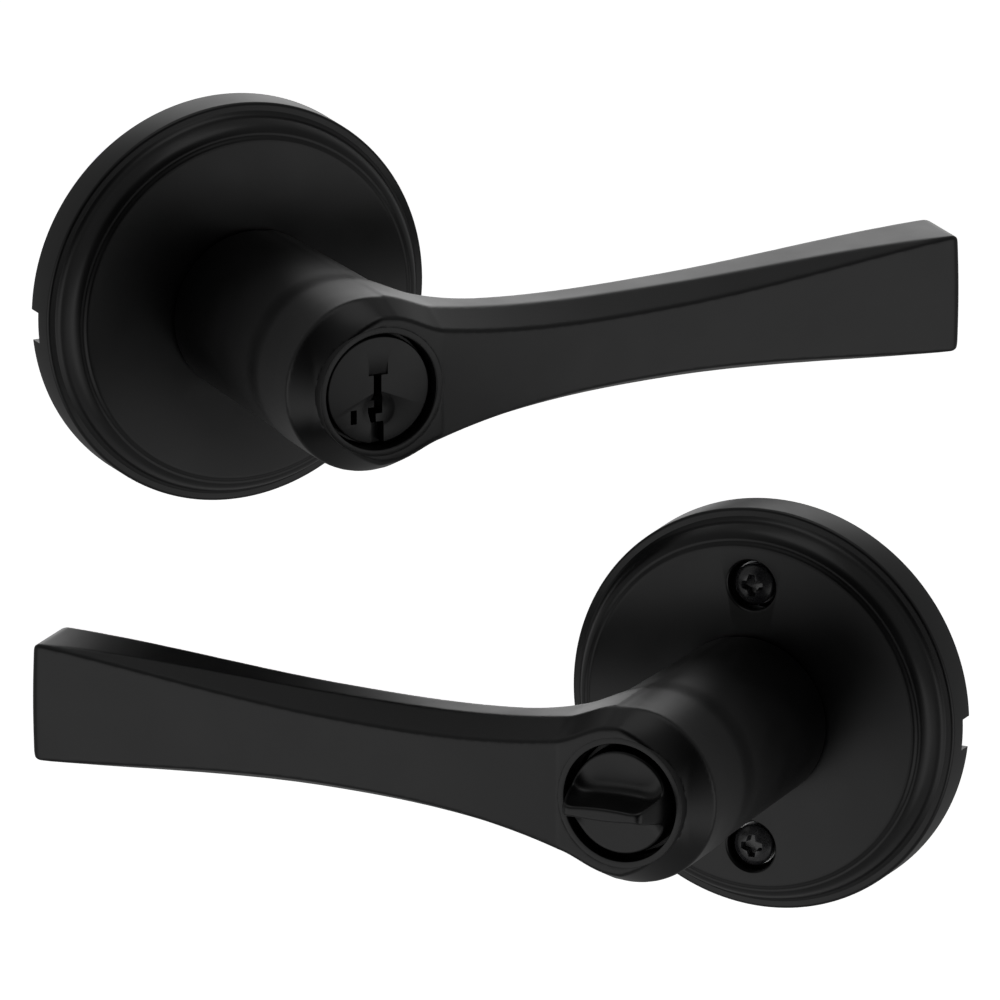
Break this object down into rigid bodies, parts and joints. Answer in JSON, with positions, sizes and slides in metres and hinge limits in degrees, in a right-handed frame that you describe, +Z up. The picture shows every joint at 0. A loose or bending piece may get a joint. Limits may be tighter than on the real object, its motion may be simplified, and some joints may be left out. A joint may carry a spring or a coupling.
{
  "type": "lever handle lockset",
  "caption": "Keyed lever lockset: round roses with splayed levers, a lock cylinder in the outside lever and a turn button in the inside one.",
  "frame": {"origin": "On the outside half's spindle axis, where its rose meets the door", "axes": "+Z up, -Y towards the person who faces both halves, +X towards the free end of the outside lever"},
  "size_m": [0.1762, 0.2015, 0.1316],
  "materials": {
    "satin_black": "satin black coating on die-cast metal",
    "gloss_black": "glossy black plating on screws",
    "plated_steel": "zinc-plated sheet and bar",
    "spring_steel": "oiled spring wire and clips",
    "brass": "machined brass"
  },
  "bodies": {
    "fixed": {"rose_outside": "satin_black", "mounting_plate_outside": "plated_steel", "post_upper": "plated_steel", "post_lower": "plated_steel", "spring_housing_outside": "plated_steel", "return_spring_outside": "spring_steel", "bearing_outside": "brass", "rose_inside": "satin_black", "mounting_plate_inside": "plated_steel", "screw_upper": "gloss_black", "screw_lower": "gloss_black", "spring_housing_inside": "plated_steel", "return_spring_inside": "spring_steel", "bearing_inside": "brass"},
    "outside_lever": {"lever_outside": "satin_black", "sleeve_outside": "plated_steel", "driver_outside": "plated_steel", "retaining_ring_outside": "spring_steel", "lever_catch_outside": "plated_steel", "drive_tube": "plated_steel", "cylinder_housing": "satin_black"},
    "plug": {"plug": "satin_black", "wafer_1": "spring_steel", "wafer_2": "spring_steel", "wafer_3": "spring_steel", "wafer_4": "spring_steel", "wafer_5": "spring_steel", "sidebar": "plated_steel", "plug_clip": "spring_steel", "tailpiece": "plated_steel"},
    "inside_lever": {"lever_inside": "satin_black", "sleeve_inside": "plated_steel", "driver_inside": "plated_steel", "retaining_ring_inside": "spring_steel", "lever_catch_inside": "plated_steel", "button_bushing": "satin_black"},
    "turn_button": {"turn_button": "satin_black", "button_clip": "spring_steel", "lock_bar": "plated_steel"}
  },
  "joints": [
    {"name": "outside_lever_turn", "type": "hinge", "parent": "fixed", "child": "outside_lever", "pos_m": [0, 0, 0], "axis": [0.4083, -0.9128, 0], "range_deg": [-50, 50], "stiffness_Nm_per_rad": 1.5, "springref_deg": 4.58},
    {"name": "key_turn", "type": "hinge", "parent": "outside_lever", "child": "plug", "pos_m": [0, 0, 0], "axis": [0.4083, -0.9128, 0], "range_deg": [-90, 90]},
    {"name": "inside_lever_turn", "type": "hinge", "parent": "fixed", "child": "inside_lever", "pos_m": [0.1048, -0.09, -0.0536], "axis": [-0.4083, -0.9128, 0], "range_deg": [-50, 50], "stiffness_Nm_per_rad": 1.5, "springref_deg": -4.58},
    {"name": "button_turn", "type": "hinge", "parent": "inside_lever", "child": "turn_button", "pos_m": [0.1048, -0.09, -0.0536], "axis": [-0.4083, -0.9128, 0], "range_deg": [0, 90]}
  ]
}
